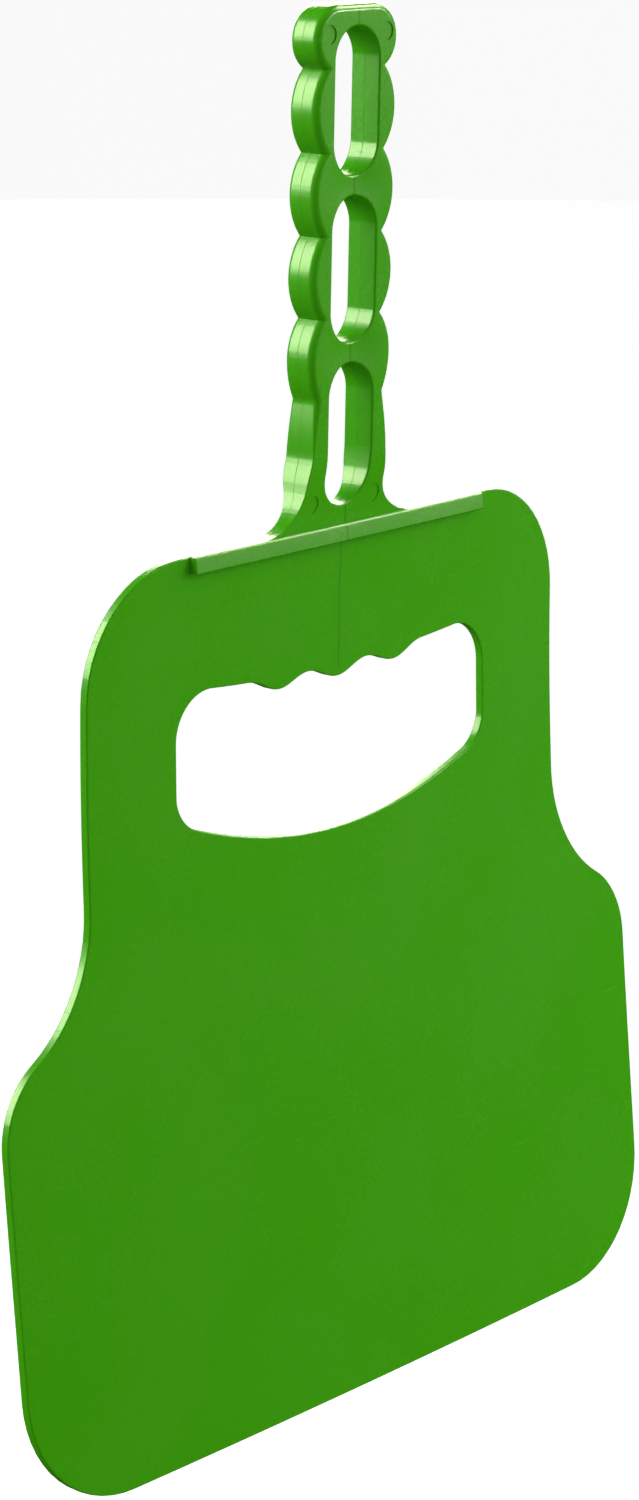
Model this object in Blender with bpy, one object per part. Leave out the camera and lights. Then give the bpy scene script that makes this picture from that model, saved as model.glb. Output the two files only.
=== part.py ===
"""Moulded plastic hand fan: a thin shouldered blade with a hand-hole, a stiffening rib along the blade's top
edge, and an upright handle with scalloped finger edges and three slots.

Metres, +Z up along the handle, front towards -Y. The shapes are drawn in the blade's own millimetres, with
z = 0 at the blade's bottom edge, and every point is then moved so that the origin is the hanging point: the
top of the uppermost slot, in the middle of the handle's thickness.

The real fan is one moulding. It is divided here into four regions, with a CUT_GAP between them.
"""

import math

import bmesh
import bpy

MM = 0.001
CUT_GAP = 0.3
ARC_TURN = 12.0

# Blade outline
BLADE_HEIGHT = 235.9
BLADE_THICKNESS = 2.5
TOP_HALF_WIDTH = 93.7
TOP_CORNER_R = 31.9
SHOULDER_HALF_WIDTH = 125.0
SHOULDER_Z = 97.0
BOTTOM_HALF_WIDTH = 124.2
BOTTOM_CORNER_R = 33.5
WAIST_R = 40.9
SHOULDER_R = 24.0
SHOULDER_SLOPE = math.radians(57.8)

# Hand-hole
HOLE_HALF_WIDTH = 62.0
HOLE_TOP_Z = 198.3
HOLE_TOP_RISE = 3.7
HOLE_TOP_CORNER_R = 12.25
HOLE_BOTTOM_Z = 154.9
HOLE_BOTTOM_RISE = 12.9
HOLE_BOTTOM_CORNER_R = 9.8
FINGER_PITCH = 23.3
FINGER_BUMP = 3.05
FINGER_STEP = 2.9
HOLE_BOTTOM_STEPS = 8

# The blade is scooped: its top and bottom come forward and its sides go back
SCOOP_Z = 147.7
SCOOP_UNIT = 100.0
SCOOP_TILT = 4.78
SCOOP_BOW = -4.22
SCOOP_CURL = -1.45
SCOOP_CROSS = 1.28
SCOOP_TWIST = 1.41
SCOOP_CELL = 34.0

# Stiffening rib
RIB_HALF_LENGTH = 58.3
RIB_HEIGHT = 4.4
RIB_DEPTH = 2.4
RIB_EDGE_R = 0.45
RIB_STEPS = 8

# Handle
HANDLE_TOP_Z = 367.8
HANDLE_DEPTH = 9.4
HANDLE_MID_Y = -0.25
HANDLE_MID_Z = 305.2
HANDLE_LEAN = -0.0214
HANDLE_EDGE_R = 1.85
GRIP_HALF_WIDTH = 15.75
NOTCH_HALF_WIDTH = 11.8
LOWEST_NOTCH_HALF_WIDTH = 13.15
TOP_END_CORNER_R = 8.65
LOWEST_NOTCH_Z = 269.2
LOWEST_SCALLOP = 20.5
SCALLOP_PITCH = 20.8
SCALLOPS = 5
SCALLOP_STEPS = 7
END_SCALLOP_PART = 0.375
SHANK_Z = 256.0
SHANK_HALF_WIDTH = 14.3
FLARE_Z = 247.0
FLARE_HALF_WIDTH = 15.5
FLARE_REACH = 14.6
FLARE_STEPS = 6
SHANK_STEPS = 4
FRONT_TAPER_Z = 254.0
BACK_TAPER_Z = 252.0
FOOT_PROUD = 0.8
ROUNDING_FOOT_Z = 254.3
FOOT_SHIFT = -1.6
FOOT_SHIFT_Z = 256.0
FOOT_SHIFTED_Z = 239.0
NECK_CUT_Z = 280.4

# Handle slots, lowest first: bottom and top
SLOT_WIDTH = 16.9
SLOT_SPANS = [(241.2, 277.8), (283.0, 320.2), (325.2, 362.4)]

HANG_Z = SLOT_SPANS[-1][1]
FAN_GREEN = (0.036, 0.31, 0.004, 1.0)
FAN_ROUGHNESS = 0.38


def smooth_step(t):
    """From 0 to 1 as t does, level at both ends."""
    return t * t * (3 - 2 * t)


def blade_y(x, z):
    """The y of the middle of the blade's thickness."""
    up = (z - SCOOP_Z) / SCOOP_UNIT
    across = x / SCOOP_UNIT
    bow = SCOOP_TILT * up + SCOOP_BOW * up**2 + SCOOP_CURL * up**3
    return bow + SCOOP_CROSS * across**2 + SCOOP_TWIST * across * up


def handle_y(z):
    """The y of the middle of the handle's thickness, above its tapered foot."""
    return HANDLE_MID_Y + HANDLE_LEAN * (z - HANDLE_MID_Z)


def placed(x, y, z):
    """A point in blade millimetres as metres from the hanging point."""
    return (x * MM, (y - handle_y(HANG_Z)) * MM, (z - HANG_Z) * MM)


def arc(centre_x, centre_z, radius, start, end):
    """Points (x, z) along an arc, in degrees anticlockwise from +X, both ends included."""
    steps = math.ceil(abs(end - start) / ARC_TURN)
    turn = [math.radians(start + (end - start) * i / steps) for i in range(steps + 1)]
    return [(centre_x + radius * math.cos(a), centre_z + radius * math.sin(a)) for a in turn]


def mirrored(half):
    """The closed outline of a right half that runs from the top of the centre line to its bottom."""
    return half + [(-x, z) for x, z in reversed(half) if x > 0]


def blade_outline():
    slope = math.degrees(SHOULDER_SLOPE)
    shoulder_x = SHOULDER_HALF_WIDTH - SHOULDER_R
    straight_x = shoulder_x + SHOULDER_R * math.cos(SHOULDER_SLOPE)
    straight_z = SHOULDER_Z + SHOULDER_R * math.sin(SHOULDER_SLOPE)
    waist_x = TOP_HALF_WIDTH + WAIST_R
    leave_x = waist_x - WAIST_R * math.cos(SHOULDER_SLOPE)
    leave_z = straight_z + (straight_x - leave_x) / math.tan(SHOULDER_SLOPE)
    waist_z = leave_z + WAIST_R * math.sin(SHOULDER_SLOPE)
    half = [(0.0, BLADE_HEIGHT)]
    half += arc(TOP_HALF_WIDTH - TOP_CORNER_R, BLADE_HEIGHT - TOP_CORNER_R, TOP_CORNER_R, 90, 0)
    half += arc(waist_x, waist_z, WAIST_R, 180, 180 + slope)
    half += arc(shoulder_x, SHOULDER_Z, SHOULDER_R, slope, 0)
    half += arc(BOTTOM_HALF_WIDTH - BOTTOM_CORNER_R, BOTTOM_CORNER_R, BOTTOM_CORNER_R, 0, -90)
    half += [(0.0, 0.0)]
    return mirrored(half)


def hole_outline():
    corner_x = HOLE_HALF_WIDTH - HOLE_TOP_CORNER_R
    steps = round(corner_x / FINGER_STEP)
    half = []
    for i in range(steps + 1):
        x = corner_x * i / steps
        wave = 0.5 + 0.5 * math.cos(2 * math.pi * x / FINGER_PITCH)
        bump = FINGER_BUMP * wave if x <= 1.5 * FINGER_PITCH else 0.0
        half.append((x, HOLE_TOP_Z - bump + HOLE_TOP_RISE * (x / HOLE_HALF_WIDTH) ** 2))
    top_z = half[-1][1]
    half += arc(corner_x, top_z - HOLE_TOP_CORNER_R, HOLE_TOP_CORNER_R, 90, 0)[1:]
    # The lower corner ends where its tangent matches the rising bottom edge
    corner_x = HOLE_HALF_WIDTH - HOLE_BOTTOM_CORNER_R
    tilt = math.atan(2 * HOLE_BOTTOM_RISE * corner_x / HOLE_HALF_WIDTH**2)
    end_x = corner_x + HOLE_BOTTOM_CORNER_R * math.sin(tilt)
    end_z = HOLE_BOTTOM_Z + HOLE_BOTTOM_RISE * (end_x / HOLE_HALF_WIDTH) ** 2
    corner_z = end_z + HOLE_BOTTOM_CORNER_R * math.cos(tilt)
    half += arc(corner_x, corner_z, HOLE_BOTTOM_CORNER_R, 0, -90 + math.degrees(tilt))
    for i in range(1, HOLE_BOTTOM_STEPS + 1):
        x = end_x * (1 - i / HOLE_BOTTOM_STEPS)
        half.append((x, HOLE_BOTTOM_Z + HOLE_BOTTOM_RISE * (x / HOLE_HALF_WIDTH) ** 2))
    return mirrored(half)


def object_from(bm, name):
    bmesh.ops.recalc_face_normals(bm, faces=bm.faces)
    mesh = bpy.data.meshes.new(name)
    bm.to_mesh(mesh)
    bm.free()
    obj = bpy.data.objects.new(name, mesh)
    bpy.context.collection.objects.link(obj)
    return obj


def moulded_plastic(obj):
    """The node's own copy of the fan's green plastic."""
    material = bpy.data.materials.new(obj.name + "_green_plastic")
    material.use_nodes = True
    shader = material.node_tree.nodes["Principled BSDF"]
    shader.inputs["Base Color"].default_value = FAN_GREEN
    shader.inputs["Roughness"].default_value = FAN_ROUGHNESS
    shader.inputs["Metallic"].default_value = 0.0
    obj.data.materials.append(material)


def ring_of_edges(bm, outline):
    points = [bm.verts.new((x, 0.0, z)) for x, z in outline]
    return [bm.edges.new((a, b)) for a, b in zip(points, points[1:] + points[:1])]


def cut_sheet(bm, axis, places):
    """Cuts the flat sheet along lines, so that it can take the scoop's curve."""
    normal = [0.0, 0.0, 0.0]
    normal[axis] = 1.0
    for place in places:
        point = [0.0, 0.0, 0.0]
        point[axis] = place
        sheet = bm.verts[:] + bm.edges[:] + bm.faces[:]
        bmesh.ops.bisect_plane(bm, geom=sheet, dist=0.01, plane_co=point, plane_no=normal)


def make_blade():
    """A flat sheet with the hand-hole in it, bent to the scoop and given its thickness."""
    bm = bmesh.new()
    edges = ring_of_edges(bm, blade_outline()) + ring_of_edges(bm, hole_outline())
    bmesh.ops.triangle_fill(bm, use_beauty=True, edges=edges)
    columns = int(SHOULDER_HALF_WIDTH / SCOOP_CELL)
    cut_sheet(bm, 0, [SCOOP_CELL * i for i in range(-columns, columns + 1)])
    cut_sheet(bm, 2, [SCOOP_CELL * i for i in range(1, int(BLADE_HEIGHT / SCOOP_CELL) + 1)])
    front = bmesh.ops.extrude_face_region(bm, geom=bm.faces[:])["geom"]
    front = {part for part in front if isinstance(part, bmesh.types.BMVert)}
    for vert in bm.verts:
        side = -0.5 if vert in front else 0.5
        x, z = vert.co.x, vert.co.z
        vert.co = placed(x, blade_y(x, z) + side * BLADE_THICKNESS, z)
    return object_from(bm, "blade")


def make_top_rib():
    """A square bar in front of the blade's top edge, following its bend."""
    bm = bmesh.new()
    low_z = BLADE_HEIGHT - RIB_HEIGHT
    sections = []
    for i in range(RIB_STEPS + 1):
        x = RIB_HALF_LENGTH * (2 * i / RIB_STEPS - 1)
        corners = []
        for depth, z in ((0, low_z), (RIB_DEPTH, low_z), (RIB_DEPTH, BLADE_HEIGHT), (0, BLADE_HEIGHT)):
            y = blade_y(x, z) - BLADE_THICKNESS / 2 - CUT_GAP - depth
            corners.append(bm.verts.new(placed(x, y, z)))
        sections.append(corners)
    for near, far in zip(sections, sections[1:]):
        for j in range(4):
            bm.faces.new((near[j], near[j - 1], far[j - 1], far[j]))
    bm.faces.new(sections[0])
    bm.faces.new(reversed(sections[-1]))
    rib = object_from(bm, "top_rib")
    edge = rib.modifiers.new("rounded_edges", "BEVEL")
    edge.width = RIB_EDGE_R * MM
    edge.segments = 2
    edge.limit_method = "ANGLE"
    edge.angle_limit = math.radians(50)
    return rib


def scallop_edge(z, low_z, high_z, inset):
    """The half-width at z of the scallop between two notches, with its outline moved in by inset."""
    half_chord = (high_z - low_z) / 2
    middle_z = (high_z + low_z) / 2
    shallow = low_z == LOWEST_NOTCH_Z and z < middle_z
    rise = GRIP_HALF_WIDTH - (LOWEST_NOTCH_HALF_WIDTH if shallow else NOTCH_HALF_WIDTH)
    radius = (half_chord**2 + rise**2) / (2 * rise)
    return GRIP_HALF_WIDTH - radius + math.sqrt((radius - inset) ** 2 - (z - middle_z) ** 2)


def notch_heights():
    upper = [LOWEST_NOTCH_Z + LOWEST_SCALLOP + SCALLOP_PITCH * i for i in range(SCALLOPS - 1)]
    return [LOWEST_NOTCH_Z] + upper


def neck_edge(inset):
    """Points (x, z) up the neck's edge, from its flared foot to just under the lowest notch."""
    points = []
    flare_height = FLARE_Z - BLADE_HEIGHT - CUT_GAP
    for i in range(FLARE_STEPS + 1):
        turn = math.pi / 2 * (1 - i / FLARE_STEPS)
        x = FLARE_HALF_WIDTH + FLARE_REACH * (1 - math.cos(turn))
        points.append((x, FLARE_Z - flare_height * math.sin(turn)))
    for i in range(1, SHANK_STEPS + 1):
        t = i / SHANK_STEPS
        x = FLARE_HALF_WIDTH + (SHANK_HALF_WIDTH - FLARE_HALF_WIDTH) * smooth_step(t)
        points.append((x, FLARE_Z + (SHANK_Z - FLARE_Z) * t))
    for i in range(1, SCALLOP_STEPS):
        t = i / SCALLOP_STEPS
        z = SHANK_Z + (LOWEST_NOTCH_Z - SHANK_Z) * t
        swell = (SHANK_HALF_WIDTH - LOWEST_NOTCH_HALF_WIDTH) * math.cos(math.pi / 2 * t)
        points.append((LOWEST_NOTCH_HALF_WIDTH + swell - inset * rounding(z), z))
    return points


def foot_shift(z):
    """How far the foot sits to the left of the handle's middle line at z."""
    t = (FOOT_SHIFT_Z - z) / (FOOT_SHIFT_Z - FOOT_SHIFTED_Z)
    return FOOT_SHIFT * smooth_step(min(max(t, 0.0), 1.0))


def taper(z, start_z):
    """How far the foot has thinned at z: not at all from start_z up, fully at the blade's top edge."""
    return smooth_step(min(max((start_z - z) / (start_z - BLADE_HEIGHT), 0.0), 1.0))


def rounding(z):
    """How much of the full edge rounding the handle has at z: none at the foot, all of it at the notches."""
    return min(max((z - ROUNDING_FOOT_Z) / (LOWEST_NOTCH_Z - ROUNDING_FOOT_Z), 0.0), 1.0)


def scallop_points(low_z, high_z, inset, start, end, steps):
    """Points (x, z) up a scallop, from after the start to the end, both given as fractions of its height."""
    points = []
    for i in range(1, steps + 1):
        z = low_z + (high_z - low_z) * (start + (end - start) * i / steps)
        points.append((scallop_edge(z, low_z, high_z, inset), z))
    return points


def neck_points(inset):
    notches = notch_heights()
    cut = (NECK_CUT_Z - notches[0]) / LOWEST_SCALLOP
    notch = (scallop_edge(notches[0], notches[0], notches[1], inset), notches[0])
    scallop = scallop_points(notches[0], notches[1], inset, 0.0, cut, SCALLOP_STEPS - 2)
    return neck_edge(inset) + [notch] + scallop


def grip_points(inset):
    notches = notch_heights()
    cut_z = NECK_CUT_Z + CUT_GAP
    cut = (cut_z - notches[0]) / LOWEST_SCALLOP
    points = [(scallop_edge(cut_z, notches[0], notches[1], inset), cut_z)]
    points += scallop_points(notches[0], notches[1], inset, cut, 1.0, SCALLOP_STEPS // 2)
    for low_z, high_z in zip(notches[1:], notches[2:]):
        points += scallop_points(low_z, high_z, inset, 0.0, 1.0, SCALLOP_STEPS)
    # The end scallop is as wide as the others but runs into the rounded top corner half way up
    corner_x = GRIP_HALF_WIDTH - TOP_END_CORNER_R
    corner_z = HANDLE_TOP_Z - TOP_END_CORNER_R
    end_z = 2 * corner_z - notches[-1]
    points += scallop_points(notches[-1], end_z, inset, 0.0, END_SCALLOP_PART, SCALLOP_STEPS // 2)
    return points + arc(corner_x, corner_z, TOP_END_CORNER_R - inset, 0, 90)


def handle_faces(x, z, from_face):
    """The handle's front and back y at a point, moved in by from_face where the edge is rounded.

    The foot thins down towards the blade, and stands a little proud of both its faces where they meet.
    """
    foot_y = blade_y(x, BLADE_HEIGHT)
    front = handle_y(z) - HANDLE_DEPTH / 2
    back = handle_y(z) + HANDLE_DEPTH / 2
    front += taper(z, FRONT_TAPER_Z) * (foot_y - BLADE_THICKNESS / 2 - FOOT_PROUD - front)
    back += taper(z, BACK_TAPER_Z) * (foot_y + BLADE_THICKNESS / 2 + FOOT_PROUD - back)
    return front + from_face * rounding(z), back - from_face * rounding(z)


def make_handle_piece(name, edge_points):
    """A stack of closed sections, one for each point up the edge, with the edge rounding in their corners."""
    rounds = [math.radians(a) for a in (0, 45, 90)]
    insets = [HANDLE_EDGE_R * (1 - math.sin(a)) for a in rounds]
    from_faces = [HANDLE_EDGE_R * (1 - math.cos(a)) for a in rounds]
    edges = [edge_points(inset) for inset in insets]
    bm = bmesh.new()
    sections = []
    for i in range(len(edges[0])):
        front, back = [], []
        for edge, from_face in zip(edges, from_faces):
            x, z = edge[i]
            front.append((x, z, from_face, 0))
            back.append((x, z, from_face, 1))
        right = front + back[::-1]
        left = [(-x, *rest) for x, *rest in reversed(right)]
        corners = []
        for x, z, inward, side in right + left:
            corners.append((x + foot_shift(z), handle_faces(x, z, inward)[side], z))
        sections.append([bm.verts.new(placed(*corner)) for corner in corners])
    for low, high in zip(sections, sections[1:]):
        for j in range(len(low)):
            bm.faces.new((low[j], low[j - 1], high[j - 1], high[j]))
    bm.faces.new(sections[0])
    top = sections[-1]
    for j in range(len(top) // 2 - 1):
        bm.faces.new((top[j], top[j + 1], top[-2 - j], top[-1 - j]))
    bmesh.ops.remove_doubles(bm, verts=bm.verts, dist=0.00001)
    return object_from(bm, name)


def cut_slot(handle, name, low_z, high_z):
    """A round-ended slot straight through the handle's thickness."""
    radius = SLOT_WIDTH / 2
    outline = arc(0, high_z - radius, radius, 0, 180) + arc(0, low_z + radius, radius, 180, 360)
    bm = bmesh.new()
    rim = [bm.verts.new(placed(x + foot_shift(z), -3 * HANDLE_DEPTH, z)) for x, z in outline]
    face = bm.faces.new(rim)
    through = bmesh.ops.extrude_face_region(bm, geom=[face])["geom"]
    through = [part for part in through if isinstance(part, bmesh.types.BMVert)]
    bmesh.ops.translate(bm, verts=through, vec=(0, 6 * HANDLE_DEPTH * MM, 0))
    cutter = object_from(bm, name)
    cutter.hide_render = True
    cutter.display_type = "WIRE"
    cut = handle.modifiers.new(name, "BOOLEAN")
    cut.operation = "DIFFERENCE"
    cut.object = cutter


def clear_scene():
    for obj in list(bpy.data.objects):
        bpy.data.objects.remove(obj)


def main():
    clear_scene()
    blade = make_blade()
    rib = make_top_rib()
    neck = make_handle_piece("handle_neck", neck_points)
    grip = make_handle_piece("handle_grip", grip_points)
    cut_slot(neck, "low_slot_cutter", *SLOT_SPANS[0])
    cut_slot(grip, "middle_slot_cutter", *SLOT_SPANS[1])
    cut_slot(grip, "top_slot_cutter", *SLOT_SPANS[2])
    for piece in (blade, rib, neck, grip):
        moulded_plastic(piece)
        piece.data.shade_smooth()
        piece.data.set_sharp_from_angle(angle=math.radians(30))


main()
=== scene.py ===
"""The looks of the moulded hand fan: blade, stiffening rib and handle, in one green plastic.

The pieces are shaped on a bench in metres, with the blade's bottom edge at z = 0 and its middle
at x = 0, and are then moved to where the CAD blade stands.
"""

import math

import bmesh
import bpy
from mathutils import Matrix, Quaternion, Vector


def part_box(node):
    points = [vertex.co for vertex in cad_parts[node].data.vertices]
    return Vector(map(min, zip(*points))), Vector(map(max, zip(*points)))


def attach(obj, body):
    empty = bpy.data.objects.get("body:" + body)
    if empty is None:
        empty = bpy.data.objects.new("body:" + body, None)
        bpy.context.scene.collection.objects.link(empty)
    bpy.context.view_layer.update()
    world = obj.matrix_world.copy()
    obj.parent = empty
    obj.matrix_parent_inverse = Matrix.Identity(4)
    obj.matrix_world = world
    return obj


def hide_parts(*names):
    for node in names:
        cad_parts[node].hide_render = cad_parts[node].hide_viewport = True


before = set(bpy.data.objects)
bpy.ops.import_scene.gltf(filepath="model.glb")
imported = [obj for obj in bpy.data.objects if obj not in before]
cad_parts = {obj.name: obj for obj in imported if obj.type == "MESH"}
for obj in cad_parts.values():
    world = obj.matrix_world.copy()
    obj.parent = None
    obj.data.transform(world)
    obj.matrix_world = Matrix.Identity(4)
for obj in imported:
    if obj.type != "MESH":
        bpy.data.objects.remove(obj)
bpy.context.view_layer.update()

MM = 0.001
NEAR = 0.02 * MM
SHARP_ANGLE = math.radians(50)
SMOOTH_ANGLE = math.radians(38)

# Blade
BLADE_HEIGHT = 235.9 * MM
BLADE_THICKNESS = 2.5 * MM
TOP_HALF_WIDTH = 93.7 * MM
WAIST_Z = 129.96 * MM
SHOULDER_HALF_WIDTH = 125.15 * MM
SHOULDER_Z = 110.25 * MM
BOTTOM_HALF_WIDTH = 123.78 * MM
TOP_CORNER_REACH = 31.9 * MM
WAIST_REACH = 22.58 * MM
SHOULDER_REACH = 13.25 * MM
BOTTOM_CORNER_REACH = 33.3 * MM
BLUNT_CORNER = 0.538
BLADE_EDGE_R = 0.42 * MM
SHEET_CELL = 6.5 * MM

# Hand-hole
HOLE_HALF_WIDTH = 62.0 * MM
HOLE_TOP_Z = 198.3 * MM
HOLE_TOP_RISE = 3.7 * MM
HOLE_TOP_CORNER_R = 12.25 * MM
HOLE_BOTTOM_Z = 154.9 * MM
HOLE_BOTTOM_RISE = 12.9 * MM
HOLE_BOTTOM_CORNER_Z = 167.5 * MM
HOLE_BOTTOM_CORNER_REACH = 6.93 * MM
FINGER_PITCH = 23.3 * MM
FINGER_BUMP = 3.05 * MM

# The scoop of the blade: how far it stands off flat, for x and z counted in SCOOP_UNIT
SCOOP_Z = 147.7 * MM
SCOOP_UNIT = 100.0 * MM
SCOOP_TILT = 4.78 * MM
SCOOP_BOW = -4.22 * MM
SCOOP_CURL = -1.45 * MM
SCOOP_CROSS = 1.28 * MM
SCOOP_TWIST = 1.41 * MM

# Rib
RIB_HALF_LENGTH = 58.3 * MM
RIB_HEIGHT = 4.4 * MM
RIB_DEPTH = 2.4 * MM
RIB_EDGE_R = 0.5 * MM
RIB_ROOT = 0.8 * MM
RIB_CELL = 4.0 * MM
RIB_SLOPE = math.tan(math.radians(12))

# Handle
HANDLE_TOP_Z = 367.8 * MM
HANDLE_DEPTH = 9.4 * MM
HANDLE_MID_Y = -0.25 * MM
HANDLE_MID_Z = 305.2 * MM
HANDLE_LEAN = -0.0214
HANDLE_EDGE_R = 1.85 * MM
GRIP_HALF_WIDTH = 15.75 * MM
NOTCH_HALF_WIDTH = 11.8 * MM
LOWEST_NOTCH_HALF_WIDTH = 13.15 * MM
TOP_END_CORNER_R = 8.65 * MM
LOWEST_NOTCH_Z = 269.2 * MM
LOWEST_SCALLOP = 20.5 * MM
SCALLOP_PITCH = 20.8 * MM
SCALLOPS = 5
SHANK_Z = 256.0 * MM
SHANK_HALF_WIDTH = 14.3 * MM
FLARE_Z = 247.0 * MM
FLARE_HALF_WIDTH = 15.5 * MM
FLARE_REACH = 14.6 * MM
FRONT_TAPER_Z = 254.0 * MM
BACK_TAPER_Z = 252.0 * MM
FOOT_PROUD = 0.8 * MM
ROUNDING_FOOT_Z = 254.3 * MM
FOOT_SHIFT = -1.6 * MM
FOOT_SHIFT_Z = 256.0 * MM
FOOT_SHIFTED_Z = 239.0 * MM
FOOT_SINK = 0.5 * MM

# Slots through the handle, from the lowest up
SLOT_WIDTH = 16.9 * MM
SLOT_SPANS = [(241.2 * MM, 277.8 * MM), (283.0 * MM, 320.2 * MM), (325.2 * MM, 362.4 * MM)]
SLOT_SIDES = 72
SLOT_EDGE_R = 0.55 * MM

# How much of the long edges' rounding is left at the foot
FOOT_ROUNDING = 0.14

# What the mould leaves: its parting line, and the ejector pins' marks at (x, z) on both sides
PARTING_Y = 0.3 * MM
PARTING_HALF_WIDTH = 0.12 * MM
PARTING_PROUD = 0.06 * MM
EJECTOR_MARKS = [(11.0 * MM, 360.6 * MM), (12.2 * MM, 242.6 * MM)]
MARK_R = 2.4 * MM
MARK_DEPTH = 0.3 * MM
MARK_SIDES = 40

# Shallow sinks in the webs between the slots
SINK_PLACES = [281.0 * MM, 323.0 * MM]
SINK_HALF_WIDTH = 13.5 * MM
SINK_HALF_HEIGHT = 10.0 * MM
SINK_DEPTH = 0.8 * MM
SINK_CELL = 1.3 * MM

# How finely the curves are divided
HOLE_BOTTOM_CUTS = 59
HOLE_BOTTOM_HALF_WIDTH = 55.44 * MM
HOLE_TOP_CUTS = 99
SCALLOP_STEPS = 12
FLARE_STEPS = 14
SHANK_STEPS = 6
SWELL_STEPS = 12
CORNER_STEPS = 12
FOOT_CELL_HEIGHT = 1.0 * MM
FOOT_CELL_WIDTH = 5.0 * MM

# The bench stands behind the frame's origin, which is the top of the uppermost slot
HANG_Z = SLOT_SPANS[-1][1]
HANG_Y = HANDLE_MID_Y + HANDLE_LEAN * (HANG_Z - HANDLE_MID_Z)
BENCH_TO_FRAME = Matrix.Translation((0, -HANG_Y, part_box("blade")[0].z))

# Plastic
DEEP_GREEN = (0.044, 0.338, 0.0008, 1)
BRIGHT_GREEN = (0.047, 0.352, 0.001, 1)
KNIT_GREEN = (0.02, 0.16, 0.001, 1)
PLASTIC_ROUGHNESS = 0.27
PLASTIC_SPECULAR = 0.14
KNIT_LOW_Z = 196 * MM - HANG_Z
KNIT_FADE = 4 * MM
KNIT_HALF_WIDTH = 0.42 * MM
KNIT_WANDER = 1.2 * MM
KNIT_DARKNESS = 0.85
CLOUD_SCALE = 22.0
GRAIN_SCALE = 900.0
FLOW_SCALE = 160.0
FLOW_STRETCH = (1.0, 1.0, 0.16)
WANDER_SCALE = 60.0
SCRATCH_SCALE = 95.0
SCRATCH_STRETCH = (1.0, 1.0, 14.0)
BUMP_STRENGTH = 0.4
BUMP_HEIGHT = 0.03 * MM

# Studio
FLOOR_Z = -1.3
FLOOR_SIZE = 30.0
FLOOR_GLOW = 0.62
DOME_GLOW = 0.95
SURROUND = 0.42
DOME_RADIUS = 12.0
LIT_POINT = Vector((0, 0, -0.1))
WARM_WHITE = (1.0, 0.98, 0.72)

# Soft boxes: name, direction from the fan, distance, width, height and brightness. The fills light the
# fan without showing in its gloss, and the sheens show in its gloss without lighting it.
FILLS = [
    ("back_left_fill", (-0.65, 0.55, 0.55), 1.7, 1.5, 1.3, 5.0),
    ("front_right_fill", (0.8, -0.55, 0.25), 1.7, 1.5, 1.3, 5.0),
]
SHEENS = [
    ("left_sheen", (-0.62, 0.63, 0.41), 1.7, 1.1, 1.2, 36.0),
    ("top_sheen", (0.735, 0.63, 0.3), 1.7, 0.9, 0.7, 26.0),
    ("right_sheen", (0.735, -0.231, 0.612), 1.8, 0.7, 0.7, 36.0),
    ("front_sheen", (0.735, -0.63, 0.2), 1.8, 0.4, 0.25, 90.0),
]

# Camera
CAMERA_TARGET = Vector((-7.331 * MM, 1.474 * MM, -185.782 * MM))
CAMERA_DISTANCE = 974.433 * MM
CAMERA_AZIMUTH = math.radians(49.4251)
CAMERA_ELEVATION = math.radians(14.4172)
CAMERA_ROLL = math.radians(0.1398)
CAMERA_LENS = 89.657


# ---------------------------------------------------------------- hand tools

def leave_edit():
    if bpy.context.mode != "OBJECT":
        bpy.ops.object.mode_set(mode="OBJECT")


def only(piece):
    leave_edit()
    bpy.ops.object.select_all(action="DESELECT")
    bpy.context.view_layer.objects.active = piece
    piece.select_set(True)


def open_mesh(piece, kind="VERT"):
    """Into edit mode on the piece, with nothing selected."""
    only(piece)
    bpy.ops.object.mode_set(mode="EDIT")
    bpy.ops.mesh.select_mode(type=kind)
    bpy.ops.mesh.select_all(action="DESELECT")


def pick(piece, kind, test):
    """Selects the verts, edges or faces that pass the test."""
    mesh = bmesh.from_edit_mesh(piece.data)
    for part in getattr(mesh, kind):
        if test(part):
            part.select_set(True)
    mesh.select_flush_mode()
    bmesh.update_edit_mesh(piece.data)


def freeze(piece):
    """Puts the object's place into its mesh."""
    only(piece)
    bpy.ops.object.transform_apply(location=True, rotation=True, scale=True)


def apply_modifier(piece, kind, **settings):
    only(piece)
    modifier = piece.modifiers.new(kind.lower(), kind)
    for name, value in settings.items():
        setattr(modifier, name, value)
    bpy.ops.object.modifier_apply(modifier=modifier.name)


def cut_away(piece, cutter):
    """Takes the cutter's shape out of the piece and throws the cutter away."""
    apply_modifier(piece, "BOOLEAN", operation="DIFFERENCE", solver="EXACT", object=cutter)
    bpy.data.objects.remove(cutter)


def upright_sheet(name, half_width, low_z, high_z):
    """A flat four-sided sheet standing in the XZ plane, its face to the front."""
    leave_edit()
    bpy.ops.object.select_all(action="DESELECT")
    bpy.ops.mesh.primitive_plane_add(size=1, rotation=(math.pi / 2, 0, 0))
    piece = bpy.context.active_object
    piece.name = name
    piece.data.name = name
    freeze(piece)
    open_mesh(piece)
    bpy.ops.mesh.select_all(action="SELECT")
    bpy.ops.transform.resize(value=(2 * half_width, 1, high_z - low_z), center_override=(0, 0, 0))
    bpy.ops.transform.translate(value=(0, 0, (high_z + low_z) / 2))
    return piece


def draw_out(piece, from_z, to_z, widen):
    """Extrudes the level edge at from_z to to_z and widens it."""
    bpy.ops.mesh.select_all(action="DESELECT")
    pick(piece, "verts", lambda v: abs(v.co.z - from_z) < NEAR)
    bpy.ops.mesh.extrude_edges_move(TRANSFORM_OT_translate={"value": (0, 0, to_z - from_z)})
    bpy.ops.transform.resize(value=(widen, 1, 1), center_override=(0, 0, 0))


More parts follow.
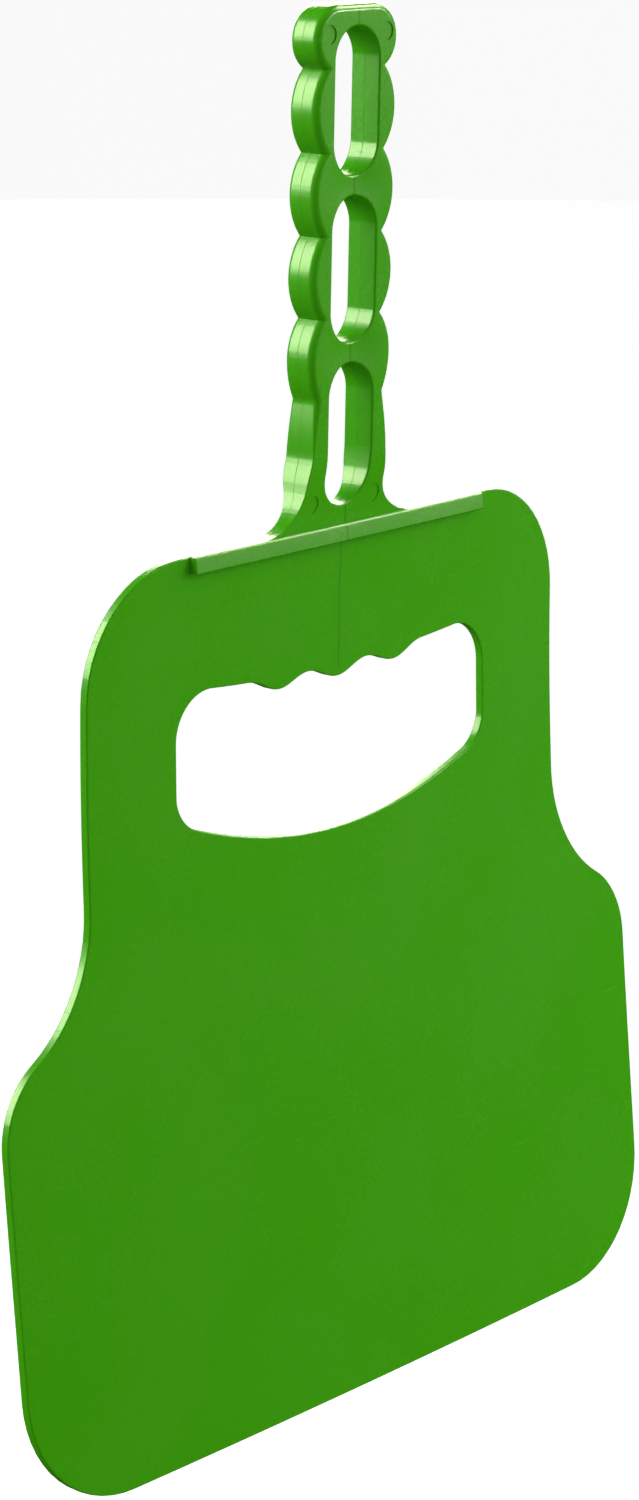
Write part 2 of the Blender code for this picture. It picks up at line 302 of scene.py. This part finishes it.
def into_one_face(piece):
    """Dissolves the edges inside a flat sheet."""
    bpy.ops.mesh.select_mode(type="EDGE")
    bpy.ops.mesh.select_all(action="DESELECT")
    pick(piece, "edges", lambda e: len(e.link_faces) == 2)
    bpy.ops.mesh.dissolve_edges(use_verts=False)
    bpy.ops.mesh.select_mode(type="VERT")


def round_corner(piece, x, z, reach, profile=0.5, segments=14):
    """Rounds the sheet's corners at +x and -x. reach is what the curve takes from each side."""
    bpy.ops.mesh.select_all(action="DESELECT")
    pick(piece, "verts", lambda v: abs(abs(v.co.x) - x) < NEAR and abs(v.co.z - z) < NEAR)
    bpy.ops.mesh.bevel(offset=reach, segments=segments, profile=profile, affect="VERTICES",
                       clamp_overlap=False)


def thicken(piece, depth):
    """Gives a flat sheet its thickness, half to the front and half to the back."""
    bpy.ops.mesh.select_all(action="SELECT")
    bpy.ops.mesh.extrude_region_move(TRANSFORM_OT_translate={"value": (0, depth, 0)})
    bpy.ops.mesh.select_all(action="SELECT")
    bpy.ops.transform.translate(value=(0, -depth / 2, 0))
    bpy.ops.mesh.normals_make_consistent(inside=False)
    leave_edit()


def saw(piece, axis, places):
    """Cuts edges across the whole piece without parting it."""
    open_mesh(piece)
    normal = [0, 0, 0]
    normal[axis] = 1
    for place in places:
        point = [0, 0, 0]
        point[axis] = place
        bpy.ops.mesh.select_all(action="SELECT")
        bpy.ops.mesh.bisect(plane_co=point, plane_no=normal, threshold=0.00001)
    leave_edit()


def steps_between(low, high, step):
    count = max(1, round((high - low) / step))
    return [low + (high - low) * i / count for i in range(1, count)]


def smooth_step(t):
    t = min(max(t, 0.0), 1.0)
    return t * t * (3 - 2 * t)


def finish_piece(piece, name, nodes):
    """Smooth shading with the flat faces kept flat, then to its place beside the CAD."""
    only(piece)
    bpy.ops.object.shade_smooth_by_angle(angle=SMOOTH_ANGLE)
    apply_modifier(piece, "WEIGHTED_NORMAL", keep_sharp=True, weight=60)
    for vert in piece.data.vertices:
        vert.co.z = min(vert.co.z, HANDLE_TOP_Z)
    piece.data.transform(BENCH_TO_FRAME)
    piece.name = name
    piece.data.name = name
    piece.data.materials.clear()
    piece.data.materials.append(GREEN_PLASTIC)
    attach(piece, "root")
    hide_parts(*nodes)


# ---------------------------------------------------------------- blade

def blade_y(x, z):
    """The y of the middle of the blade's thickness."""
    up = (z - SCOOP_Z) / SCOOP_UNIT
    across = x / SCOOP_UNIT
    bow = SCOOP_TILT * up + SCOOP_BOW * up**2 + SCOOP_CURL * up**3
    return bow + SCOOP_CROSS * across**2 + SCOOP_TWIST * across * up


def scoop(piece):
    """Bends a flat piece to the blade's scoop."""
    for vert in piece.data.vertices:
        vert.co.y += blade_y(vert.co.x, vert.co.z)


def divide_level_edge(piece, z, cuts):
    """Divides the one level edge at z, and leaves the new points selected."""
    bpy.ops.mesh.select_mode(type="EDGE")
    bpy.ops.mesh.select_all(action="DESELECT")
    pick(piece, "edges", lambda e: all(abs(v.co.z - z) < NEAR for v in e.verts))
    bpy.ops.mesh.subdivide(number_cuts=cuts)
    bpy.ops.mesh.select_mode(type="VERT")


def make_hand_hole():
    """The hole's shape as a block: a sagging bottom edge, and three finger bumps along its top."""
    corner_x = HOLE_HALF_WIDTH - HOLE_TOP_CORNER_R
    top_z = HOLE_TOP_Z + HOLE_TOP_RISE * (corner_x / HOLE_HALF_WIDTH) ** 2
    hole = upright_sheet("hand_hole", HOLE_HALF_WIDTH, HOLE_BOTTOM_CORNER_Z, top_z)

    divide_level_edge(hole, HOLE_BOTTOM_CORNER_Z, HOLE_BOTTOM_CUTS)
    outermost = HOLE_HALF_WIDTH * (1 - 2 / (HOLE_BOTTOM_CUTS + 1))
    mesh = bmesh.from_edit_mesh(hole.data)
    for vert in mesh.verts:
        if abs(vert.co.z - HOLE_BOTTOM_CORNER_Z) < NEAR and abs(vert.co.x) < HOLE_HALF_WIDTH - NEAR:
            vert.co.x *= HOLE_BOTTOM_HALF_WIDTH / outermost
            vert.co.z = HOLE_BOTTOM_Z + HOLE_BOTTOM_RISE * (vert.co.x / HOLE_HALF_WIDTH) ** 2
    bmesh.update_edit_mesh(hole.data)
    round_corner(hole, HOLE_HALF_WIDTH, HOLE_BOTTOM_CORNER_Z, HOLE_BOTTOM_CORNER_REACH)

    round_corner(hole, HOLE_HALF_WIDTH, top_z, HOLE_TOP_CORNER_R)
    divide_level_edge(hole, top_z, HOLE_TOP_CUTS)
    mesh = bmesh.from_edit_mesh(hole.data)
    for vert in mesh.verts:
        x = abs(vert.co.x)
        if abs(vert.co.z - top_z) < NEAR and x < corner_x - NEAR:
            bump = FINGER_BUMP * (0.5 + 0.5 * math.cos(math.tau * x / FINGER_PITCH))
            hang = bump if x < 1.5 * FINGER_PITCH else 0.0
            vert.co.z = HOLE_TOP_Z - hang + HOLE_TOP_RISE * (x / HOLE_HALF_WIDTH) ** 2
    bmesh.update_edit_mesh(hole.data)
    thicken(hole, 5 * BLADE_THICKNESS)
    return hole


def make_blade():
    blade = upright_sheet("fan_blade", TOP_HALF_WIDTH, WAIST_Z, BLADE_HEIGHT)
    draw_out(blade, WAIST_Z, SHOULDER_Z, SHOULDER_HALF_WIDTH / TOP_HALF_WIDTH)
    draw_out(blade, SHOULDER_Z, 0.0, BOTTOM_HALF_WIDTH / SHOULDER_HALF_WIDTH)
    into_one_face(blade)
    round_corner(blade, TOP_HALF_WIDTH, BLADE_HEIGHT, TOP_CORNER_REACH)
    round_corner(blade, TOP_HALF_WIDTH, WAIST_Z, WAIST_REACH, BLUNT_CORNER)
    round_corner(blade, SHOULDER_HALF_WIDTH, SHOULDER_Z, SHOULDER_REACH, BLUNT_CORNER)
    round_corner(blade, BOTTOM_HALF_WIDTH, 0.0, BOTTOM_CORNER_REACH)
    thicken(blade, BLADE_THICKNESS)
    cut_away(blade, make_hand_hole())
    apply_modifier(blade, "BEVEL", width=BLADE_EDGE_R, segments=3, limit_method="ANGLE",
                   angle_limit=SHARP_ANGLE, use_clamp_overlap=False)
    saw(blade, 0, steps_between(-SHOULDER_HALF_WIDTH, SHOULDER_HALF_WIDTH, SHEET_CELL))
    saw(blade, 2, steps_between(0.0, BLADE_HEIGHT, SHEET_CELL))
    scoop(blade)
    finish_piece(blade, "fan_blade", ["blade"])
    return blade


def make_rib():
    """A bar along the front of the blade's top edge, rooted in the sheet, its face sloping back."""
    leave_edit()
    bpy.ops.object.select_all(action="DESELECT")
    bpy.ops.mesh.primitive_cube_add(size=1)
    rib = bpy.context.active_object
    depth = RIB_DEPTH + RIB_ROOT
    open_mesh(rib)
    bpy.ops.mesh.select_all(action="SELECT")
    bpy.ops.transform.resize(value=(2 * RIB_HALF_LENGTH, depth, RIB_HEIGHT), center_override=(0, 0, 0))
    middle_y = -BLADE_THICKNESS / 2 - RIB_DEPTH + depth / 2
    bpy.ops.transform.translate(value=(0, middle_y, BLADE_HEIGHT - RIB_HEIGHT / 2))
    bpy.ops.mesh.select_all(action="DESELECT")
    pick(rib, "verts", lambda v: v.co.y < middle_y and v.co.z > BLADE_HEIGHT - RIB_HEIGHT / 2)
    bpy.ops.transform.translate(value=(0, RIB_HEIGHT * RIB_SLOPE, 0))
    leave_edit()
    apply_modifier(rib, "BEVEL", width=RIB_EDGE_R, segments=4, limit_method="ANGLE",
                   angle_limit=SHARP_ANGLE)
    saw(rib, 0, steps_between(-RIB_HALF_LENGTH, RIB_HALF_LENGTH, RIB_CELL))
    scoop(rib)
    finish_piece(rib, "stiffening_rib", ["top_rib"])
    return rib


# ---------------------------------------------------------------- handle

def scallop_rows(low_z, high_z, low_width, high_width):
    """(z, half-width) up one half of a scallop, an arc between a notch and its widest point."""
    notch = min(low_width, high_width)
    rise = GRIP_HALF_WIDTH - notch
    reach = high_z - low_z
    radius = (reach**2 + rise**2) / (2 * rise)
    full_turn = math.asin(reach / radius)
    rows = []
    for i in range(1, SCALLOP_STEPS + 1):
        share = i / SCALLOP_STEPS if low_width > high_width else 1 - i / SCALLOP_STEPS
        turn = full_turn * share
        from_tip = radius * math.sin(turn)
        z = low_z + from_tip if low_width > high_width else high_z - from_tip
        rows.append((z, GRIP_HALF_WIDTH - radius + radius * math.cos(turn)))
    return rows


def handle_rows():
    """(z, half-width) up the handle's edge, from the foot in the blade's top edge to the rounded end."""
    rows = [(BLADE_HEIGHT, FLARE_HALF_WIDTH + FLARE_REACH)]
    for i in range(1, FLARE_STEPS + 1):
        turn = math.pi / 2 * (1 - i / FLARE_STEPS)
        z = FLARE_Z - (FLARE_Z - BLADE_HEIGHT) * math.sin(turn)
        rows.append((z, FLARE_HALF_WIDTH + FLARE_REACH * (1 - math.cos(turn))))
    for i in range(1, SHANK_STEPS + 1):
        t = i / SHANK_STEPS
        width = FLARE_HALF_WIDTH + (SHANK_HALF_WIDTH - FLARE_HALF_WIDTH) * smooth_step(t)
        rows.append((FLARE_Z + (SHANK_Z - FLARE_Z) * t, width))
    for i in range(1, SWELL_STEPS + 1):
        t = i / SWELL_STEPS
        swell = (SHANK_HALF_WIDTH - LOWEST_NOTCH_HALF_WIDTH) * math.cos(math.pi / 2 * t)
        rows.append((SHANK_Z + (LOWEST_NOTCH_Z - SHANK_Z) * t, LOWEST_NOTCH_HALF_WIDTH + swell))
    notch_z, notch_width = LOWEST_NOTCH_Z, LOWEST_NOTCH_HALF_WIDTH
    for i in range(SCALLOPS - 1):
        height = SCALLOP_PITCH if i else LOWEST_SCALLOP
        tip_z = notch_z + height / 2
        rows += scallop_rows(notch_z, tip_z, notch_width, GRIP_HALF_WIDTH)
        rows += scallop_rows(tip_z, notch_z + height, GRIP_HALF_WIDTH, NOTCH_HALF_WIDTH)
        notch_z, notch_width = notch_z + height, NOTCH_HALF_WIDTH
    corner_z = HANDLE_TOP_Z - TOP_END_CORNER_R
    rows += scallop_rows(notch_z, corner_z, notch_width, GRIP_HALF_WIDTH)
    for i in range(1, CORNER_STEPS + 1):
        turn = math.pi / 2 * i / CORNER_STEPS
        width = GRIP_HALF_WIDTH - TOP_END_CORNER_R * (1 - math.cos(turn))
        rows.append((corner_z + TOP_END_CORNER_R * math.sin(turn), width))
    return rows


def round_long_edges(handle):
    """Rounds the front and back edges: hardly at the flared foot, fully from the lowest notch up."""
    weights = handle.data.attributes.new("bevel_weight_edge", "FLOAT", "EDGE")
    for edge in handle.data.edges:
        a, b = (handle.data.vertices[i].co for i in edge.vertices)
        if abs(a.y - b.y) > NEAR or max(a.z, b.z) < BLADE_HEIGHT - NEAR:
            continue
        share = ((a.z + b.z) / 2 - ROUNDING_FOOT_Z) / (LOWEST_NOTCH_Z - ROUNDING_FOOT_Z)
        weights.data[edge.index].value = min(max(share, FOOT_ROUNDING), 1.0)
    apply_modifier(handle, "BEVEL", width=HANDLE_EDGE_R, segments=6, limit_method="WEIGHT",
                   use_clamp_overlap=False)


def raise_parting_line(piece, proud):
    """A fine ridge round the piece's side walls where the mould's two halves met."""
    saw(piece, 1, [PARTING_Y - PARTING_HALF_WIDTH, PARTING_Y, PARTING_Y + PARTING_HALF_WIDTH])
    open_mesh(piece)
    pick(piece, "verts", lambda v: abs(v.co.y - PARTING_Y) < NEAR / 4)
    bpy.ops.transform.shrink_fatten(value=proud)
    leave_edit()


def make_slot_block(low_z, high_z):
    """The shape of one slot as a block: a drum with its upper half moved up."""
    radius = SLOT_WIDTH / 2
    leave_edit()
    bpy.ops.object.select_all(action="DESELECT")
    bpy.ops.mesh.primitive_cylinder_add(vertices=SLOT_SIDES, radius=radius, depth=2 * HANDLE_DEPTH,
                                        location=(0, 0, low_z + radius), rotation=(math.pi / 2, 0, 0))
    slot = bpy.context.active_object
    freeze(slot)
    open_mesh(slot)
    bpy.ops.mesh.select_all(action="SELECT")
    bpy.ops.transform.rotate(value=math.pi / SLOT_SIDES, orient_axis="Y",
                             center_override=(0, 0, low_z + radius))
    bpy.ops.mesh.select_all(action="DESELECT")
    pick(slot, "verts", lambda v: v.co.z > low_z + radius)
    bpy.ops.transform.translate(value=(0, 0, high_z - low_z - 2 * radius))
    leave_edit()
    raise_parting_line(slot, -PARTING_PROUD)
    return slot


def soften_slot_edges(handle):
    """A small rounding where the slots meet the handle's faces."""
    def on_slot_edge(edge):
        if len(edge.link_faces) != 2 or any(abs(v.co.x) > SLOT_WIDTH / 2 + NEAR for v in edge.verts):
            return False
        faces = sorted(abs(face.normal.y) for face in edge.link_faces)
        return faces[0] < 0.3 and faces[1] > 0.99

    open_mesh(handle, "EDGE")
    pick(handle, "edges", on_slot_edge)
    bpy.ops.mesh.bevel(offset=SLOT_EDGE_R, segments=3, affect="EDGES", clamp_overlap=False)
    leave_edit()


def sink_ejector_marks(handle):
    """Four shallow round marks where the ejector pins pushed."""
    for x, z in EJECTOR_MARKS:
        for side in (-1, 1):
            leave_edit()
            bpy.ops.object.select_all(action="DESELECT")
            middle_y = MARK_DEPTH - HANDLE_DEPTH
            bpy.ops.mesh.primitive_cylinder_add(vertices=MARK_SIDES, radius=MARK_R, depth=HANDLE_DEPTH,
                                                location=(side * x, middle_y, z),
                                                rotation=(math.pi / 2, 0, 0))
            pin = bpy.context.active_object
            freeze(pin)
            cut_away(handle, pin)


def sink_webs(handle):
    """Shallow hollows, front and back, where the thick webs shrank in the mould."""
    for place in SINK_PLACES:
        saw(handle, 2, steps_between(place - SINK_HALF_HEIGHT, place + SINK_HALF_HEIGHT, SINK_CELL))
    saw(handle, 0, steps_between(-SINK_HALF_WIDTH, SINK_HALF_WIDTH, SINK_CELL))
    for vert in handle.data.vertices:
        for place in SINK_PLACES:
            from_middle = math.hypot(vert.co.x / SINK_HALF_WIDTH, (vert.co.z - place) / SINK_HALF_HEIGHT)
            if from_middle < 1:
                sink = SINK_DEPTH * (0.5 + 0.5 * math.cos(math.pi * from_middle))
                vert.co.y *= 1 - sink / (HANDLE_DEPTH / 2)


def seat_handle(handle):
    """Leans the handle, thins its foot down towards the blade, and shifts the foot sideways."""
    for vert in handle.data.vertices:
        x, y, z = vert.co
        lean = HANDLE_MID_Y + HANDLE_LEAN * (z - HANDLE_MID_Z)
        foot = blade_y(x, BLADE_HEIGHT)
        front = lean - HANDLE_DEPTH / 2
        back = lean + HANDLE_DEPTH / 2
        front_fall = smooth_step((FRONT_TAPER_Z - z) / (FRONT_TAPER_Z - BLADE_HEIGHT))
        back_fall = smooth_step((BACK_TAPER_Z - z) / (BACK_TAPER_Z - BLADE_HEIGHT))
        front += front_fall * (foot - BLADE_THICKNESS / 2 - FOOT_PROUD - front)
        back += back_fall * (foot + BLADE_THICKNESS / 2 + FOOT_PROUD - back)
        vert.co.y = front + (back - front) * (y / HANDLE_DEPTH + 0.5)
        vert.co.x += FOOT_SHIFT * smooth_step((FOOT_SHIFT_Z - z) / (FOOT_SHIFT_Z - FOOT_SHIFTED_Z))


def make_handle():
    rows = handle_rows()
    handle = upright_sheet("fan_handle", rows[0][1], BLADE_HEIGHT - FOOT_SINK, BLADE_HEIGHT)
    for (low_z, low_width), (high_z, high_width) in zip(rows, rows[1:]):
        draw_out(handle, low_z, high_z, high_width / low_width)
    into_one_face(handle)
    thicken(handle, HANDLE_DEPTH)
    round_long_edges(handle)
    raise_parting_line(handle, PARTING_PROUD)
    for span in SLOT_SPANS:
        cut_away(handle, make_slot_block(*span))
    soften_slot_edges(handle)
    sink_ejector_marks(handle)
    foot_half_width = FLARE_HALF_WIDTH + FLARE_REACH
    saw(handle, 2, steps_between(BLADE_HEIGHT, FOOT_SHIFT_Z, FOOT_CELL_HEIGHT))
    saw(handle, 0, steps_between(-foot_half_width, foot_half_width, FOOT_CELL_WIDTH))
    sink_webs(handle)
    seat_handle(handle)
    finish_piece(handle, "fan_handle", ["handle_neck", "handle_grip"])
    return handle


# ---------------------------------------------------------------- plastic

def wire(tree, source, target):
    tree.links.new(source, target)


def add_node(tree, kind, **settings):
    """Adds a node. Settings named for a property set it; the rest are inputs, as values or as sockets."""
    node = tree.nodes.new(kind)
    for name, value in settings.items():
        if not name.startswith("in_"):
            setattr(node, name, value)
    for name, value in settings.items():
        if name.startswith("in_"):
            key = name[3:]
            socket = node.inputs[int(key)] if key.isdigit() else node.inputs[key.replace("_", " ")]
            if isinstance(value, bpy.types.NodeSocket):
                tree.links.new(value, socket)
            else:
                socket.default_value = value
    return node


def maths(tree, operation, a, b=0.0):
    return add_node(tree, "ShaderNodeMath", operation=operation, in_0=a, in_1=b).outputs[0]


def noise(tree, place, scale, detail=2.0, roughness=0.5):
    node = add_node(tree, "ShaderNodeTexNoise", in_Vector=place, in_Scale=scale, in_Detail=detail,
                    in_Roughness=roughness)
    return node.outputs["Fac"]


def stretched(tree, place, scale):
    return add_node(tree, "ShaderNodeMapping", in_Vector=place, in_Scale=scale).outputs[0]


def span(tree, value, low, high, to_low=0.0, to_high=1.0):
    node = add_node(tree, "ShaderNodeMapRange", in_Value=value)
    for name, number in (("From Min", low), ("From Max", high), ("To Min", to_low), ("To Max", to_high)):
        node.inputs[name].default_value = number
    return node.outputs[0]


def make_green_plastic():
    """Semi-gloss moulded plastic with faint clouding, flow marks, a knit line and a few scratches."""
    material = bpy.data.materials.new("green_plastic")
    material.use_nodes = True
    tree = material.node_tree
    shader = tree.nodes["Principled BSDF"]
    place = add_node(tree, "ShaderNodeTexCoord").outputs["Object"]
    axes = add_node(tree, "ShaderNodeSeparateXYZ", in_Vector=place)

    clouds = noise(tree, place, CLOUD_SCALE, 3.0)
    grain = noise(tree, place, GRAIN_SCALE, 2.0)
    flow = noise(tree, stretched(tree, place, FLOW_STRETCH), FLOW_SCALE, 3.0)
    tint = maths(tree, "ADD", maths(tree, "MULTIPLY", clouds, 0.75), maths(tree, "MULTIPLY", grain, 0.25))
    colour = add_node(tree, "ShaderNodeMix", data_type="RGBA")
    wire(tree, span(tree, tint, 0.3, 0.7), colour.inputs["Factor"])
    colour.inputs["A"].default_value = DEEP_GREEN
    colour.inputs["B"].default_value = BRIGHT_GREEN

    unsteady = maths(tree, "SUBTRACT", noise(tree, place, WANDER_SCALE), 0.5)
    wander = maths(tree, "MULTIPLY", unsteady, KNIT_WANDER)
    off_middle = maths(tree, "ABSOLUTE", maths(tree, "ADD", axes.outputs["X"], wander))
    above_hole = span(tree, axes.outputs["Z"], KNIT_LOW_Z, KNIT_LOW_Z + KNIT_FADE)
    knit = maths(tree, "MULTIPLY", span(tree, off_middle, 0.0, KNIT_HALF_WIDTH, 1.0, 0.0), above_hole)

    scratch_place = stretched(tree, place, SCRATCH_STRETCH)
    scratches = span(tree, noise(tree, scratch_place, SCRATCH_SCALE, 1.0), 0.715, 0.735)

    darker = add_node(tree, "ShaderNodeMix", data_type="RGBA")
    wire(tree, maths(tree, "MULTIPLY", knit, KNIT_DARKNESS), darker.inputs["Factor"])
    wire(tree, colour.outputs["Result"], darker.inputs["A"])
    darker.inputs["B"].default_value = KNIT_GREEN
    wire(tree, darker.outputs["Result"], shader.inputs["Base Color"])

    cloudy = span(tree, clouds, 0.3, 0.7, -0.03, 0.03)
    grainy = span(tree, grain, 0.2, 0.8, -0.03, 0.03)
    even = maths(tree, "ADD", maths(tree, "ADD", cloudy, grainy), PLASTIC_ROUGHNESS)
    rough = maths(tree, "ADD", even, maths(tree, "MULTIPLY", scratches, 0.12))
    wire(tree, rough, shader.inputs["Roughness"])

    height = maths(tree, "ADD", maths(tree, "MULTIPLY", grain, 0.03), maths(tree, "MULTIPLY", flow, 0.35))
    height = maths(tree, "SUBTRACT", height, maths(tree, "MULTIPLY", knit, 0.9))
    height = maths(tree, "SUBTRACT", height, maths(tree, "MULTIPLY", scratches, 0.4))
    bump = add_node(tree, "ShaderNodeBump", in_Height=height, in_Strength=BUMP_STRENGTH,
                    in_Distance=BUMP_HEIGHT)
    wire(tree, bump.outputs["Normal"], shader.inputs["Normal"])

    shader.inputs["IOR"].default_value = 1.5
    shader.inputs["Specular IOR Level"].default_value = PLASTIC_SPECULAR
    return material


# ---------------------------------------------------------------- studio

def add_soft_box(name, direction, distance, width, height, radiance):
    light = bpy.data.lights.new(name, "AREA")
    light.color = WARM_WHITE
    light.shape = "RECTANGLE"
    light.size = width
    light.size_y = height
    light.energy = radiance * math.pi * width * height
    box = bpy.data.objects.new(name, light)
    bpy.context.collection.objects.link(box)
    towards = Vector(direction).normalized()
    box.location = LIT_POINT + towards * distance
    box.rotation_euler = towards.to_track_quat("Z", "Y").to_euler()
    box.visible_camera = False
    return box


def make_studio():
    """A pale floor under the hanging fan, a pale dome round it, two soft fills and four soft sheens."""
    leave_edit()
    bpy.ops.mesh.primitive_plane_add(size=FLOOR_SIZE, location=(0, 0, FLOOR_Z))
    floor = bpy.context.active_object
    floor.name = "floor"
    # The floor and the dome are only a backdrop: their light doesn't reach the fan
    floor.visible_glossy = False
    floor.visible_diffuse = False
    paper = bpy.data.materials.new("floor_paper")
    paper.use_nodes = True
    sheet = paper.node_tree.nodes["Principled BSDF"]
    sheet.inputs["Base Color"].default_value = (0.93, 0.93, 0.93, 1)
    sheet.inputs["Roughness"].default_value = 1.0
    sheet.inputs["Emission Color"].default_value = (1, 1, 1, 1)
    sheet.inputs["Emission Strength"].default_value = FLOOR_GLOW
    floor.data.materials.append(paper)

    bpy.ops.mesh.primitive_uv_sphere_add(segments=64, ring_count=32, radius=DOME_RADIUS)
    dome = bpy.context.active_object
    dome.name = "dome"
    dome.visible_diffuse = False
    dome.visible_glossy = False
    dome.visible_shadow = False
    pale = bpy.data.materials.new("dome_paper")
    pale.use_nodes = True
    cloth = pale.node_tree.nodes["Principled BSDF"]
    cloth.inputs["Base Color"].default_value = (0, 0, 0, 1)
    cloth.inputs["Emission Color"].default_value = (1, 1, 1, 1)
    cloth.inputs["Emission Strength"].default_value = DOME_GLOW
    dome.data.materials.append(pale)

    world = bpy.data.worlds.new("surround")
    world.use_nodes = True
    bpy.context.scene.world = world
    bpy.context.scene.view_settings.view_transform = "Standard"
    backing = world.node_tree.nodes["Background"]
    backing.inputs["Color"].default_value = (1, 1, 1, 1)
    backing.inputs["Strength"].default_value = SURROUND
    world.cycles_visibility.glossy = False

    for box in FILLS:
        add_soft_box(*box).visible_glossy = False
    for box in SHEENS:
        add_soft_box(*box).visible_diffuse = False


def make_camera():
    """Above and to the left of the front, looking at the middle of the fan."""
    data = bpy.data.cameras.new("camera")
    data.lens = CAMERA_LENS
    data.sensor_width = 36.0
    camera = bpy.data.objects.new("camera", data)
    bpy.context.collection.objects.link(camera)
    back = Vector((-math.sin(CAMERA_AZIMUTH) * math.cos(CAMERA_ELEVATION),
                   -math.cos(CAMERA_AZIMUTH) * math.cos(CAMERA_ELEVATION), math.sin(CAMERA_ELEVATION)))
    camera.location = CAMERA_TARGET + back * CAMERA_DISTANCE
    turn = back.to_track_quat("Z", "Y") @ Quaternion((0, 0, 1), CAMERA_ROLL)
    camera.rotation_euler = turn.to_euler()
    bpy.context.scene.camera = camera


make_studio()
make_camera()
GREEN_PLASTIC = make_green_plastic()
make_blade()
make_rib()
make_handle()
leave_edit()
